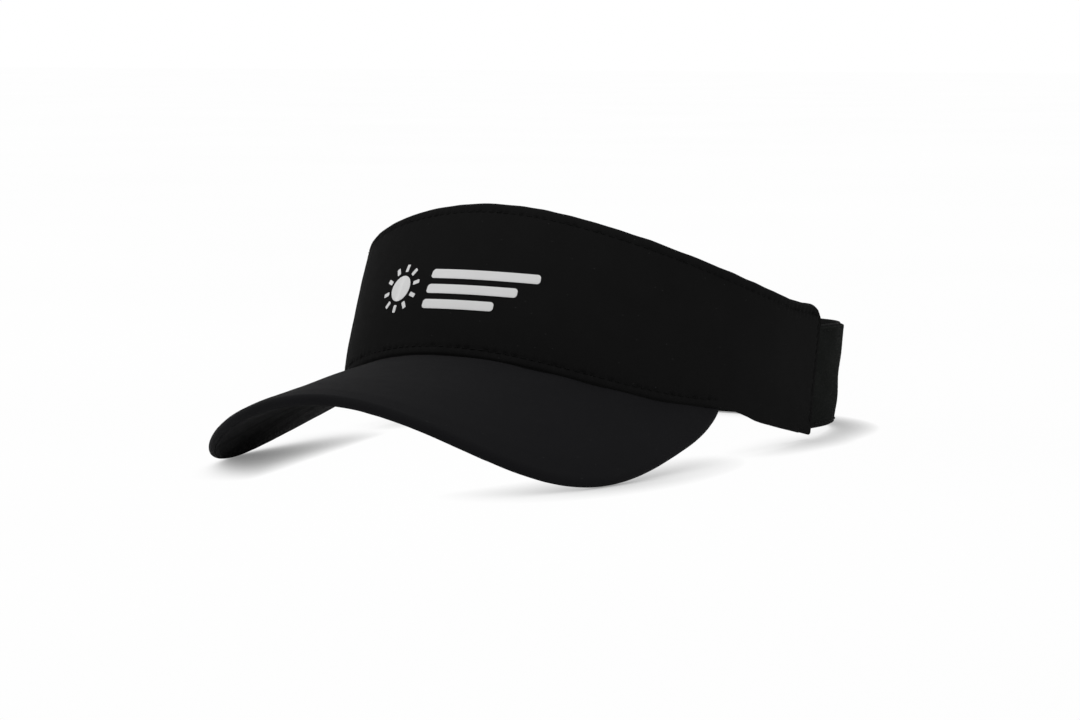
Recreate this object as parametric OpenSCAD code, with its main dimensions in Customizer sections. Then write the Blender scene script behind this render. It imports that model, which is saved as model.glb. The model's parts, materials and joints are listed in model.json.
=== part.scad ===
// Sun visor with an open crown, a curved bill and a two-part hook-and-loop back strap.
// It is drawn as worn, about a head oval centred on the origin with its front towards -Y,
// and then tilted back so that it rests on its bill corners and on the strap's lower edge.

/* [Head oval] */
// Half of the oval's width, at the outside of the crown
oval_half_width = 82.5; // [78:0.5:86]
// Reach of the oval ahead of its centre, at the crown's lower edge
oval_front = 99; // [95:0.5:104]
// Reach of the oval behind its centre
oval_rear = 95.5; // [92:0.5:101]
// Roundness exponent of the front half, where 2 is an ellipse
front_roundness = 1.93; // [1.85:0.01:2.1]
// Roundness exponent of the rear half, which the strap holds squarer
rear_roundness = 4; // [3.4:0.1:4.4]

/* [Crown] */
// Height of the crown at the front centre
crown_front_height = 66.5; // [60:0.5:71]
// Height of the crown's top line where it would meet the centre back
crown_rear_height = 72.5; // [70:0.5:78]
// How far the top line sags between front and rear
crown_sag = 22.1; // [18:0.1:24]
// Share by which that sag is deeper in the front quarter than in the rear quarter
crown_sag_skew = -0.39; // [-0.5:0.01:-0.2]
// Distance behind the oval's centre at which the crown ends
crown_end = 33; // [27:0.5:40]
// Backward lean of the front wall at its foot, per millimetre of height
front_lean = 0.04; // [0:0.01:0.15]
// Backward bulge of the front wall at 100 mm of height
front_dome = 46; // [36:1:52]
// Forward lean of the strap's wall at the back, per millimetre of height
rear_lean = 0; // [-0.05:0.01:0.1]
// Thickness of the outer fabric
shell_thickness = 0.9; // [0.6:0.1:1]
// Radius of the upper corner at each crown end
end_corner = 7; // [3:0.5:9]
// Radius of the lower corner at each crown end
end_foot_corner = 1.5; // [1:0.1:2.5]

/* [Bill] */
// Half of the bill's width
bill_half_width = 81.2; // [78:0.2:85]
// Distance of the bill's widest line ahead of the oval's centre
bill_widest = 67.3; // [64:0.1:71]
// Reach of the bill ahead of its widest line
bill_reach = 102.9; // [96:0.1:108]
// Reach of the bill's outline behind its widest line
bill_return = 80; // [60:1:90]
// Roundness exponent of the bill's outline
bill_roundness = 2.5; // [2.3:0.05:2.7]
// Total thickness of the bill
bill_thickness = 4.6; // [4:0.1:5.2]
// Radius of the bill's cross curve at the crown
bill_curve = 105; // [100:1:125]
// Share by which the cross curve tightens over 100 mm towards the tip
bill_tighten = 0.3; // [0.2:0.01:0.34]
// Downward slope of the bill along its centre line, in degrees
bill_slope = 16.7; // [13:0.1:20]
// Height of the bill's upper face at the crown's front centre
bill_root_height = 9.2; // [7:0.1:11]

/* [Back strap] */
// Height of each strap
strap_height = 39; // [36:0.5:41]
// Thickness of each strap's webbing
strap_thickness = 1.2; // [0.8:0.1:1.4]
// Height of the straps' lower edge at the crown ends
strap_start = 1.9; // [1.5:0.1:3]
// Upward run of the straps behind the crown ends, in degrees
strap_run = 8.9; // [7:0.1:10]
// Angle by which each strap passes the centre back, in degrees
strap_lap = 21; // [14:1:26]
// Gap between a crown end and the strap's free part
strap_gap = 1.6; // [1.2:0.1:2.5]

/* [Lining] */
// Height of the sweatband
sweatband_height = 32; // [24:1:36]
// Thickness of the sweatband
sweatband_thickness = 1; // [0.8:0.1:1.4]
// Thickness of the forehead foam
foam_thickness = 2.4; // [1.5:0.1:3]

/* [Rest] */
// Backward tilt at which the bill corners and the strap both touch the ground, in degrees
rest_tilt = 12; // [11:0.1:13]

/* [Hidden] */

fabric = [0.085, 0.085, 0.09];
webbing = [0.11, 0.115, 0.11];
lining = [0.07, 0.07, 0.075];
ply_gap = 0.2;
thread_size = 0.35;
stiffener_thickness = 0.7;
lining_thickness = 0.6;
tape_thickness = 0.5;
cover_thickness = 0.6;
pile_thickness = 0.8;
label_thickness = 0.3;
seam_allowance = 3;
stitch_inset = 3.2;
end_stitch_inset = 1.8;

// Depths of the inner plies, measured inward from the crown's outer face.
stiffener_depth = shell_thickness + ply_gap;
lining_front_depth = stiffener_depth + stiffener_thickness + ply_gap;
pocket_depth = 1.5;
hem_height = 10;
seam_tape_height = 7;
// Depths of the straps: at the crown ends, and where they overlap at the back.
webbing_depth = 2;
pile_depth = webbing_depth - pile_thickness - ply_gap;
hook_web_lap_depth = 0;
hook_tape_lap_depth = hook_web_lap_depth + strap_thickness + ply_gap;
loop_pile_lap_depth = hook_tape_lap_depth + pile_thickness + ply_gap;
loop_web_lap_depth = loop_pile_lap_depth + pile_thickness + ply_gap;

function smooth(a, b, v) = let (t = min(1, max(0, (v - a) / (b - a)))) t * t * (3 - 2 * t);
function mix(a, b, t) = a + (b - a) * t;

// Radius of a rounded oval in the direction a, for half-axes w across and l along.
function oval_radius(a, w, l, n) = pow(pow(abs(sin(a)) / w, n) + pow(abs(cos(a)) / l, n), -1 / n);

// Point of the crown's wall in the direction a (0 is the front), at height z and depth d.
function wall(a, z, d) = let (
        front = cos(a) > 0,
        leaned = oval_front - front_lean * z - front_dome * pow(z / 100, 2),
        l = front ? leaned : oval_rear - rear_lean * z,
        r = oval_radius(a, oval_half_width - d, l - d, front ? front_roundness : rear_roundness))
    [r * sin(a), -r * cos(a), z];

// Upper face of the bill, which the crown's lower edge follows from temple to temple.
function cross_radius(y) = bill_curve * (1 - bill_tighten * min(1, max(-1, -(y + oval_front) / 100)));
function bill_height(x, y) = let (r = cross_radius(y))
    bill_root_height + (y + oval_front) * tan(bill_slope) - r + sqrt(r * r - min(x * x, 0.9 * r * r));
function bill_normal(x, y) = let (
        r = cross_radius(y),
        v = [x / sqrt(r * r - min(x * x, 0.9 * r * r)), -tan(bill_slope), 1])
    v / norm(v);

// Outline of the bill in the direction b from the middle of its widest line.
function rim(b) = let (
        along = cos(b) > 0 ? bill_reach : bill_return,
        r = oval_radius(b, bill_half_width, along, bill_roundness))
    [r * sin(b), -bill_widest - r * cos(b)];
function outside_crown(p) = norm(p) > norm([for (i = [0:1]) wall(atan2(p[0], -p[1]), 0, 0)[i]]);
function rim_end(low, high, k) = k == 0 ? low
    : let (m = (low + high) / 2) outside_crown(rim(m)) ? rim_end(m, high, k - 1) : rim_end(low, m, k - 1);
bill_end = rim_end(60, 150, 24);
temple = atan2(rim(bill_end)[0], -rim(bill_end)[1]);
crown_end_angle = 90 + atan(crown_end / oval_half_width);

// Lower and upper edges of the crown in the direction a, with rounded rear corners.
end_radius = norm([oval_half_width, crown_end]);
function from_end(a) = max(0, (crown_end_angle - abs(a)) * PI / 180 * end_radius);
function corner(a, r) = let (s = min(r, from_end(a))) r - sqrt(max(0, r * r - pow(r - s, 2)));
// A ply at the depth d starts above the bill at that depth, so it clears the bill's root.
function on_bill(p) = bill_height(p[0], p[1]);
function seam_height(a, d) = on_bill(wall(a, on_bill(wall(a, on_bill(wall(a, 0, d)), d)), d));
function lower_edge(a, d = 0) = ply_gap + (abs(a) < temple ? seam_height(a, d)
    : mix(seam_height(temple, d), 0, smooth(temple, temple + 20, abs(a))) + corner(a, end_foot_corner));
function upper_edge(a) = let (t = (oval_front + wall(a, 0, 0)[1]) / (oval_front + oval_rear))
    mix(crown_front_height, crown_rear_height, t)
        - 4 * crown_sag * t * (1 - t) * (1 + crown_sag_skew * (1 - 2 * t))
        - corner(a, end_corner);

// Depths that change round the crown.
function lining_depth(a) = lining_front_depth + pocket_depth * smooth(82, 102, abs(a));
function tape_depth(a) = lining_depth(a) + lining_thickness + ply_gap;
function sweatband_depth(a) = tape_depth(a) + tape_thickness + ply_gap
    + (foam_thickness - tape_thickness) * (1 - smooth(50, 62, abs(a)));
function sweatband_top(a) = min(lower_edge(a) + sweatband_height, upper_edge(a) - hem_height - 2);
function lap(b) = smooth(130, 180 - strap_lap - 1, b);

// Straps: b is the direction counted from the front along the strap's own side.
strap_root = crown_end_angle + strap_gap / end_radius * 180 / PI;
strap_tip = 180 + strap_lap;
strap_corner = 6;
function strap_low(b) = strap_start + (wall(b, 0, 0)[1] - crown_end) * tan(strap_run);
function strap_inset(b) = let (r = strap_corner, s = (strap_tip - b) * PI / 180 * oval_rear)
    r - sqrt(max(0, r * r - pow(r - min(r, max(0, s)), 2)));

// Directions from a0 to a1 in n steps, with extra ones close to a rounded end.
function span(a0, a1, n) = [for (i = [0:n]) mix(a0, a1, i / n)];
function ends(a) = [a - 3.7, a - 2.6, a - 1.6, a - 0.8, a - 0.3, a];
function crown_span(n) = let (e = ends(crown_end_angle)) concat(
    [for (i = [len(e) - 1:-1:0]) -e[i]],
    [for (i = [1:n - 1]) mix(-e[0], e[0], i / n)],
    e);

// Closed skin through a list of rings that each run up one face and down the other.
module loft(rings) {
    n = len(rings[0]);
    m = len(rings);
    h = n / 2;
    sides = [for (i = [0:m - 2], k = [0:n - 1]) let (
            a = i * n + k, b = i * n + (k + 1) % n, c = a + n, d = b + n)
        each [[a, b, d], [a, d, c]]];
    first = [for (j = [0:h - 2]) each [[j, n - 1 - j, n - 2 - j], [j, n - 2 - j, j + 1]]];
    o = (m - 1) * n;
    last = [for (j = [0:h - 2]) let (k = o + j, far = o + n - 1 - j)
        each [[k, far - 1, far], [k, k + 1, far - 1]]];
    polyhedron(points = [for (r = rings) each r], faces = concat(sides, first, last));
}

// One ply of the wall. Each station is [direction, lower height, upper height, depth].
module ply(stations, thickness, rows) {
    loft([for (s = stations) concat(
        [for (j = [0:rows]) wall(s[0], mix(s[1], s[2], j / rows), s[3])],
        [for (j = [rows:-1:0]) wall(s[0], mix(s[1], s[2], j / rows), s[3] + thickness)])]);
}

// Point of the bill on the line from the crown to the rim point in the direction b, at the
// share t of that line, a given inset from the rim and a given depth below the upper face.
function bill_point(b, t, low, inset) = let (
        edge = rim(b),
        wall_root = wall(atan2(edge[0], -edge[1]), 0, seam_allowance),
        root = [wall_root[0], wall_root[1]],
        reach = 1 - inset / norm(edge - root),
        p = root + (edge - root) * t * reach)
    concat(p, bill_height(p[0], p[1])) - low * bill_normal(p[0], p[1]);

// Line at the depth e under the bill's skin, from the crown to the middle of its round edge.
half_bill = bill_thickness / 2;
function half_line(b, e, under) = concat(
    [for (t = bill_steps) bill_point(b, t, under ? bill_thickness - e : e, half_bill)],
    [for (q = rim_turns) let (low = half_bill - (half_bill - e) * sin(q))
        bill_point(b, 1, under ? bill_thickness - low : low, half_bill - (half_bill - e) * cos(q))]);
function backwards(v) = [for (i = [len(v) - 1:-1:0]) v[i]];
bill_steps = [0, 0.2, 0.4, 0.6, 0.8, 1];
rim_turns = [60, 30, 2];
bill_span = span(-bill_end, bill_end, 50);

// Tilts the part from the worn pose onto the ground, and sets it so that the axis of the
// head oval meets the ground at the origin.
function rested(p) = [p[0], p[1] * cos(rest_tilt) + p[2] * sin(rest_tilt),
    -p[1] * sin(rest_tilt) + p[2] * cos(rest_tilt)];
lift = -min([for (b = bill_span, p = half_line(b, 0, true)) rested(p)[2]]);
module rest() {
    translate([0, lift * tan(rest_tilt), lift]) rotate([-rest_tilt, 0, 0]) children();
}

module crown_shell() {
    stations = [for (a = crown_span(64)) [a, lower_edge(a, shell_thickness), upper_edge(a), 0]];
    color(fabric) rest() ply(stations, shell_thickness, 7);
}

// The front panel's stiffener tapers in height between two directions on each side.
stiffener_taper = [40, 62];
module crown_stiffener() {
    stations = [for (a = span(-stiffener_taper[1], stiffener_taper[1], 36))
        let (fade = 14 * smooth(stiffener_taper[0], stiffener_taper[1], abs(a)))
        [a, lower_edge(a) + 4 + fade, upper_edge(a) - 6 - fade, stiffener_depth]];
    color([0.8, 0.8, 0.76]) rest() ply(stations, stiffener_thickness, 5);
}

// Lower edge of the inner plies, which stand on the bill's root.
function inner_edge(a) = lower_edge(a, seam_allowance) + ply_gap;

module crown_lining() {
    stations = [for (a = crown_span(60)) [a, inner_edge(a), upper_edge(a) - 0.5, lining_depth(a)]];
    color(lining) rest() ply(stations, lining_thickness, 6);
}

module top_edge_tape() {
    limit = crown_end_angle - 4.5;
    stations = [for (a = span(-limit, limit, 52))
        [a, upper_edge(a) - hem_height, upper_edge(a) - 1, tape_depth(a)]];
    color(lining) rest() ply(stations, tape_thickness, 1);
}

module seam_tape() {
    limit = temple + 3;
    stations = [for (a = span(-limit, limit, 40))
        [a, inner_edge(a), inner_edge(a) + seam_tape_height, tape_depth(a)]];
    color(lining) rest() ply(stations, tape_thickness, 2);
}

// The foam tapers in height between two directions on each side.
foam_taper = [42, 50];
module forehead_foam() {
    stations = [for (a = span(-foam_taper[1], foam_taper[1], 30))
        let (fade = 5 * smooth(foam_taper[0], foam_taper[1], abs(a)))
        [a, inner_edge(a) + seam_tape_height + 1 + fade, sweatband_top(a) - 4 - fade, tape_depth(a)]];
    color([0.55, 0.55, 0.57]) rest() ply(stations, foam_thickness - ply_gap, 3);
}

module sweatband() {
    limit = crown_end_angle - 5;
    stations = [for (a = span(-limit, limit, 56))
        [a, inner_edge(a) + 0.3, sweatband_top(a), sweatband_depth(a)]];
    color([0.1, 0.1, 0.11]) rest() ply(stations, sweatband_thickness, 4);
}

module end_facing(side) {
    middle = side * (crown_end_angle - 2.4);
    stations = [for (a = span(middle - 1.7, middle + 1.7, 4))
        [a, lower_edge(a) + 3, upper_edge(a) - 3, tape_depth(a)]];
    color(lining) rest() ply(stations, tape_thickness, 3);
}

module near_end_facing() {
    end_facing(1);
}

module far_end_facing() {
    end_facing(-1);
}

module bill_core() {
    skin = cover_thickness + 1.25 * ply_gap;
    color([0.2, 0.2, 0.21]) rest() loft([for (b = bill_span)
        concat(half_line(b, skin, true), backwards(half_line(b, skin, false)))]);
}

module bill_top_cover() {
    color(fabric) rest() loft([for (b = bill_span)
        concat(half_line(b, cover_thickness, false), backwards(half_line(b, 0, false)))]);
}

module bill_under_cover() {
    color(fabric) rest() loft([for (b = bill_span)
        concat(half_line(b, 0, true), backwards(half_line(b, cover_thickness, true)))]);
}

// Raised print on the crown's front: a rayed disc and three bars, each a thin ply whose
// stations run across the wall. u and v are millimetres right of and above the disc's centre.
mark_angle = -17;
mark_height = 33.5;
mark_disc = 4.8;
mark_rays = 10;
mark_ray = [6.2, 9];
mark_bars = [[13.5, 54, 5.6], [13.5, 47, 0], [13.5, 40, -5.6]];
mark_bar_height = 3.4;
mark_thickness = 0.25;
function mark_station(u, low, high) = [mark_angle + u / (oval_front - 12) * 180 / PI,
    mark_height + low, mark_height + high, -mark_thickness - ply_gap / 2];
module mark_patch(stations) {
    ply([for (s = stations) mark_station(s[0], s[1], s[2])], mark_thickness, 2);
}

module front_mark() {
    color([0.72, 0.73, 0.72]) rest() {
        mark_patch([for (q = span(-84, 84, 16)) let (h = mark_disc * cos(q)) [mark_disc * sin(q), -h, h]]);
        for (k = [0:mark_rays - 1]) {
            turn = (k + 0.5) * 360 / mark_rays;
            half = 0.75;
            u0 = mark_ray[0] * cos(turn);
            v0 = mark_ray[0] * sin(turn);
            u1 = mark_ray[1] * cos(turn);
            v1 = mark_ray[1] * sin(turn);
            if (abs(u1 - u0) > abs(v1 - v0))
                mark_patch([for (t = u1 > u0 ? [0, 1] : [1, 0]) let (v = mix(v0, v1, t))
                    [mix(u0, u1, t), v - half, v + half]]);
            else
                mark_patch([for (w = [-half, half]) [(u0 + u1) / 2 + w, min(v0, v1), max(v0, v1)]]);
        }
        for (bar = mark_bars) let (half = mark_bar_height / 2)
            mark_patch([for (u = span(bar[0], bar[1], 12)) [u, bar[2] - half, bar[2] + half]]);
    }
}

// A thread laid along the wall at the depth d. Each station is [direction, height].
module thread(stations, d) {
    ply([for (s = stations) [s[0], s[1] - thread_size / 2, s[1] + thread_size / 2, d]], thread_size, 1);
}
outside = -thread_size - ply_gap / 2;

module top_edge_thread() {
    limit = crown_end_angle - 1.9;
    stations = [for (a = span(-limit, limit, 72)) [a, upper_edge(a) - stitch_inset]];
    color("black") rest() thread(stations, outside);
}

module bill_seam_thread() {
    limit = temple - 1;
    stations = [for (a = span(-limit, limit, 48)) [a, lower_edge(a) + stitch_inset]];
    color("black") rest() thread(stations, outside);
}

module sweatband_thread() {
    limit = crown_end_angle - 6;
    stations = [for (a = span(-limit, limit, 56))
        let (high = sweatband_top(a) - 1.4, d = sweatband_depth(a) + sweatband_thickness)
        [a, high - thread_size, high, d + ply_gap / 2]];
    color("black") rest() ply(stations, thread_size, 1);
}

// Upright row that closes a crown end over the strap's sewn root.
module end_thread(side) {
    a = side * (crown_end_angle - end_stitch_inset / end_radius * 180 / PI);
    half = thread_size / 2 / end_radius * 180 / PI;
    stations = [for (q = [a - half, a + half]) [q, lower_edge(a) + 4, upper_edge(a) - 4, outside]];
    color("black") rest() ply(stations, thread_size, 6);
}

module near_end_thread() {
    end_thread(1);
}

module far_end_thread() {
    end_thread(-1);
}

// One strap's ply: side is 1 for the near strap and -1 for the far one, from b0 to b1 along
// the strap, with its edges drawn in by an inset. depths is [at the root, in the lap].
module strap_ply(side, b0, b1, inset, depths, thickness, rows, n) {
    list = [for (b = span(b0, b1, n)) let (e = inset + strap_inset(b))
        [side * b, strap_low(b) + e, strap_low(b) + strap_height - e, mix(depths[0], depths[1], lap(b))]];
    ply(side > 0 ? list : backwards(list), thickness, rows);
}

module loop_strap() {
    depths = [webbing_depth, loop_web_lap_depth];
    color(webbing) rest() strap_ply(1, strap_root, strap_tip, 0, depths, strap_thickness, 3, 40);
}

module loop_tape() {
    depths = [pile_depth, loop_pile_lap_depth];
    color([0.12, 0.125, 0.12]) rest()
        strap_ply(1, strap_root, strap_tip - 0.6, 0.8, depths, pile_thickness, 3, 40);
}

module hook_strap() {
    depths = [webbing_depth, hook_web_lap_depth];
    color(webbing) rest() strap_ply(-1, strap_root, strap_tip, 0, depths, strap_thickness, 3, 40);
}

module hook_tape() {
    depths = [hook_tape_lap_depth, hook_tape_lap_depth];
    color([0.1, 0.1, 0.1]) rest()
        strap_ply(-1, 180 - strap_lap + 4, strap_tip - 1.5, 4, depths, pile_thickness, 3, 16);
}

// Two rows along a tape's edges.
module tape_thread(side, b0, b1, inset, depths) {
    half = thread_size / 2;
    for (row = [inset, strap_height - inset])
        let (list = [for (b = span(b0, b1, 36)) let (z = strap_low(b) + row)
            [side * b, z - half, z + half, mix(depths[0], depths[1], lap(b))]])
        ply(side > 0 ? list : backwards(list), thread_size, 1);
}

module loop_tape_thread() {
    d = thread_size + ply_gap / 2;
    depths = [pile_depth - d, loop_pile_lap_depth - d];
    color("black") rest() tape_thread(1, strap_root + 0.5, strap_tip - 3.5, 2.2, depths);
}

module hook_tape_thread() {
    d = hook_web_lap_depth - thread_size - ply_gap / 2;
    color("black") rest() tape_thread(-1, 180 - strap_lap + 5, strap_tip - 3.5, 6, [d, d]);
}

// Directions between which each label hangs.
care_label_span = [74, 90];
size_label_span = [-88, -77];

// A blank label hanging inside the crown from the sweatband's upper edge.
function label_top(a0, a1) = sweatband_top((a0 + a1) / 2) - 3;
function label_depth(a) = sweatband_depth(a) + sweatband_thickness + 1.5 * ply_gap;
module label(a0, a1, length) {
    top = label_top(a0, a1);
    ply([for (a = span(a0, a1, 6)) [a, top - length, top, label_depth(a)]], label_thickness, 2);
}

module care_label() {
    color([0.62, 0.62, 0.6]) rest() label(care_label_span[0], care_label_span[1], 22);
}

module size_label() {
    color([0.78, 0.72, 0.6]) rest() label(size_label_span[0], size_label_span[1], 12);
}

crown_shell();
crown_stiffener();
crown_lining();
top_edge_tape();
seam_tape();
forehead_foam();
sweatband();
near_end_facing();
far_end_facing();
bill_core();
bill_top_cover();
bill_under_cover();
front_mark();
top_edge_thread();
bill_seam_thread();
sweatband_thread();
near_end_thread();
far_end_thread();
loop_strap();
loop_tape();
loop_tape_thread();
hook_strap();
hook_tape();
hook_tape_thread();
care_label();
size_label();
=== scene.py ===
"""Looks for the sun visor: fabric, stitching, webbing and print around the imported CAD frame.

The wall, bill and strap formulas are those of the CAD model, in millimetres in the worn pose,
so that each fabric piece lies where its CAD node lies. place() moves them to the resting pose.
"""
import json
import math

import bpy
import numpy as np
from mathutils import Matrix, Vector


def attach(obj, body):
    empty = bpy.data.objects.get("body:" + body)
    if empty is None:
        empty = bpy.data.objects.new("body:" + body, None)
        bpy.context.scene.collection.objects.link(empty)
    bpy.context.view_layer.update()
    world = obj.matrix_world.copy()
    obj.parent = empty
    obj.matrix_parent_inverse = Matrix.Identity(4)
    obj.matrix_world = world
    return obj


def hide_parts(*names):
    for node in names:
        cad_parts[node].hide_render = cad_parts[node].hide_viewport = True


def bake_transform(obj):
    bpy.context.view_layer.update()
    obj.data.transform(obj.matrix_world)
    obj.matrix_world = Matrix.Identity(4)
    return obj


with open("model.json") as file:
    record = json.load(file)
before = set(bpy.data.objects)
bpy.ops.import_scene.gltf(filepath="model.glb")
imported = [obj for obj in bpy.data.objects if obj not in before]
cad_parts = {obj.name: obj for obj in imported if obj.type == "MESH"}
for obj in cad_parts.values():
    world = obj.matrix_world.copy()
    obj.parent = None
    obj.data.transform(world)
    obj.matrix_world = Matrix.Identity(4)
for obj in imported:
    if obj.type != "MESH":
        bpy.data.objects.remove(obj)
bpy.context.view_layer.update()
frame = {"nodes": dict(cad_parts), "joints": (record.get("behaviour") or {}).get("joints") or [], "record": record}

MM = 0.001

# Driving dimensions, as in the CAD model, in millimetres.
OVAL_HALF_WIDTH = 82.5
OVAL_FRONT = 99.0
OVAL_REAR = 95.5
FRONT_ROUNDNESS = 1.93
REAR_ROUNDNESS = 4.0
CROWN_FRONT_HEIGHT = 66.5
CROWN_REAR_HEIGHT = 72.5
CROWN_SAG = 22.1
CROWN_SAG_SKEW = -0.39
CROWN_END = 33.0
FRONT_LEAN = 0.04
FRONT_DOME = 46.0
END_CORNER = 7.0
END_FOOT_CORNER = 1.5
BILL_HALF_WIDTH = 81.2
BILL_WIDEST = 67.3
BILL_REACH = 102.9
BILL_RETURN = 80.0
BILL_ROUNDNESS = 2.5
BILL_THICKNESS = 4.6
BILL_CURVE = 105.0
BILL_TIGHTEN = 0.3
BILL_SLOPE = math.radians(16.7)
BILL_ROOT_HEIGHT = 9.2
SEAM_ALLOWANCE = 3.0
STRAP_HEIGHT = 39.0
STRAP_THICKNESS = 1.2
STRAP_START = 1.9
STRAP_RUN = math.radians(8.9)
STRAP_LAP = 21.0
STRAP_GAP = 1.6
SWEATBAND_HEIGHT = 32.0
PLY_GAP = 0.2
SHELL_THICKNESS = 0.9
LINING_THICKNESS = 0.6
TAPE_THICKNESS = 0.5
FOAM_THICKNESS = 2.4
SWEATBAND_THICKNESS = 1.0
PILE_THICKNESS = 0.8
COVER_THICKNESS = 0.6
STITCH_INSET = 3.2
HEM_HEIGHT = 10.0

# Depths of the plies inside the crown's outer face.
STIFFENER_THICKNESS = 0.7
STIFFENER_DEPTH = SHELL_THICKNESS + PLY_GAP
LINING_FRONT_DEPTH = STIFFENER_DEPTH + STIFFENER_THICKNESS + PLY_GAP
POCKET_DEPTH = 1.5
WEBBING_DEPTH = 2.0
PILE_DEPTH = WEBBING_DEPTH - PILE_THICKNESS - PLY_GAP
HOOK_TAPE_DEPTH = STRAP_THICKNESS + PLY_GAP
LOOP_PILE_LAP_DEPTH = HOOK_TAPE_DEPTH + PILE_THICKNESS + PLY_GAP
LOOP_WEB_LAP_DEPTH = LOOP_PILE_LAP_DEPTH + PILE_THICKNESS + PLY_GAP

# Directions, in degrees from the front, between which an edge or a depth changes.
FOOT_RUN = 20.0
POCKET_SPAN = (82.0, 102.0)
FOAM_SPAN = (50.0, 62.0)
LAP_START = 130.0

BODY = "visor"
LOOP_BODY = "loop_strap_half"
HOOK_BODY = "hook_strap_half"


# ---------------------------------------------------------------- small maths
def smooth(low, high, value):
    t = np.clip((value - low) / (high - low), 0.0, 1.0)
    return t * t * (3 - 2 * t)


def mix(a, b, t):
    return a + (b - a) * t


def spread(start, end, count, ease=0.0):
    """count values from start to end, drawn towards both ends by ease (0 to 1)."""
    t = np.linspace(0.0, 1.0, count)
    eased = 0.5 - 0.5 * np.cos(np.pi * t)
    return start + (end - start) * mix(t, eased, ease)


def ripple(u, v, size, seed, stretch=1.0, waves=14):
    """Smooth random relief of about unit height, with bumps about `size` mm across."""
    draw = np.random.default_rng(seed)
    total = 0.0
    for _ in range(waves):
        turn = draw.uniform(0, 2 * math.pi)
        rate = 2 * math.pi / (size * draw.uniform(0.7, 1.6))
        phase = draw.uniform(0, 2 * math.pi)
        total = total + np.sin(rate * (math.cos(turn) * u / stretch + math.sin(turn) * v) + phase)
    return total / math.sqrt(waves / 2)


def stack(x, y, z):
    return np.stack(np.broadcast_arrays(x, y, z), axis=-1).astype(float)


def sin_deg(a):
    return np.sin(np.radians(a))


def cos_deg(a):
    return np.cos(np.radians(a))


# ---------------------------------------------------------------- the CAD model's surfaces
def oval_radius(a, across, along, roundness):
    total = (np.abs(sin_deg(a)) / across) ** roundness + (np.abs(cos_deg(a)) / along) ** roundness
    return total ** (-1.0 / roundness)


def wall(a, z, d):
    """Point of the crown's wall in the direction a (0 is the front), at height z and depth d."""
    a, z, d = np.broadcast_arrays(np.asarray(a, float), z, d)
    front = cos_deg(a) > 0
    leaned = OVAL_FRONT - FRONT_LEAN * z - FRONT_DOME * (z / 100) ** 2
    along = np.where(front, leaned, OVAL_REAR)
    roundness = np.where(front, FRONT_ROUNDNESS, REAR_ROUNDNESS)
    r = oval_radius(a, OVAL_HALF_WIDTH - d, along - d, roundness)
    return stack(r * sin_deg(a), -r * cos_deg(a), z)


def cross_radius(y):
    """Radius of the bill's curve from side to side, which tightens towards its front."""
    return BILL_CURVE * (1 - BILL_TIGHTEN * np.clip(-(y + OVAL_FRONT) / 100, -1, 1))


def bill_height(x, y):
    """Height of the bill's upper face."""
    r = cross_radius(y)
    return BILL_ROOT_HEIGHT + (y + OVAL_FRONT) * math.tan(BILL_SLOPE) - r + np.sqrt(r * r - x * x)


def bill_normal(x, y):
    r = cross_radius(y)
    v = stack(x / np.sqrt(r * r - x * x), -math.tan(BILL_SLOPE), 1.0)
    return v / np.linalg.norm(v, axis=-1, keepdims=True)


def rim(b):
    """Outline of the bill, seen from above, in the direction b from its widest line's middle."""
    along = np.where(cos_deg(b) > 0, BILL_REACH, BILL_RETURN)
    r = oval_radius(b, BILL_HALF_WIDTH, along, BILL_ROUNDNESS)
    return stack(r * sin_deg(b), -BILL_WIDEST - r * cos_deg(b), 0.0)[..., :2]


def find_bill_end():
    """Direction in which the bill's outline runs into the crown."""
    low, high = 60.0, 150.0
    for _ in range(24):
        middle = (low + high) / 2
        p = rim(middle)
        a = math.degrees(math.atan2(p[0], -p[1]))
        if np.hypot(*p) > np.hypot(*wall(a, 0, 0)[:2]):
            low = middle
        else:
            high = middle
    return low


BILL_END = find_bill_end()
TEMPLE = float(np.degrees(np.arctan2(rim(BILL_END)[0], -rim(BILL_END)[1])))
CROWN_END_ANGLE = 90 + math.degrees(math.atan(CROWN_END / OVAL_HALF_WIDTH))
END_RADIUS = math.hypot(OVAL_HALF_WIDTH, CROWN_END)
MM_PER_DEGREE_AT_END = END_RADIUS * math.pi / 180
STRAP_ROOT = CROWN_END_ANGLE + STRAP_GAP / MM_PER_DEGREE_AT_END
STRAP_TIP = 180 + STRAP_LAP


def from_end(a):
    """Distance from the nearer end of the crown."""
    return np.maximum(0, (CROWN_END_ANGLE - np.abs(a)) * MM_PER_DEGREE_AT_END)


def corner(a, radius):
    """How far a round corner of that radius cuts into an edge at the crown's ends."""
    s = np.minimum(radius, from_end(a))
    return radius - np.sqrt(np.maximum(0, radius**2 - (radius - s) ** 2))


def seam_height(a, d):
    """Height of the bill's upper face where the wall at the depth d meets it."""
    z = 0.0
    for _ in range(3):
        p = wall(a, z, d)
        z = bill_height(p[..., 0], p[..., 1])
    return z


def lower_edge(a, d=0.0):
    behind = mix(seam_height(TEMPLE, d), 0, smooth(TEMPLE, TEMPLE + FOOT_RUN, np.abs(a)))
    behind = behind + corner(a, END_FOOT_CORNER)
    return PLY_GAP + np.where(np.abs(a) < TEMPLE, seam_height(a, d), behind)


def upper_edge(a):
    t = (OVAL_FRONT + wall(a, 0, 0)[..., 1]) / (OVAL_FRONT + OVAL_REAR)
    sag = 4 * CROWN_SAG * t * (1 - t) * (1 + CROWN_SAG_SKEW * (1 - 2 * t))
    return mix(CROWN_FRONT_HEIGHT, CROWN_REAR_HEIGHT, t) - sag - corner(a, END_CORNER)


def lining_depth(a):
    return LINING_FRONT_DEPTH + POCKET_DEPTH * smooth(*POCKET_SPAN, np.abs(a))


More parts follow.
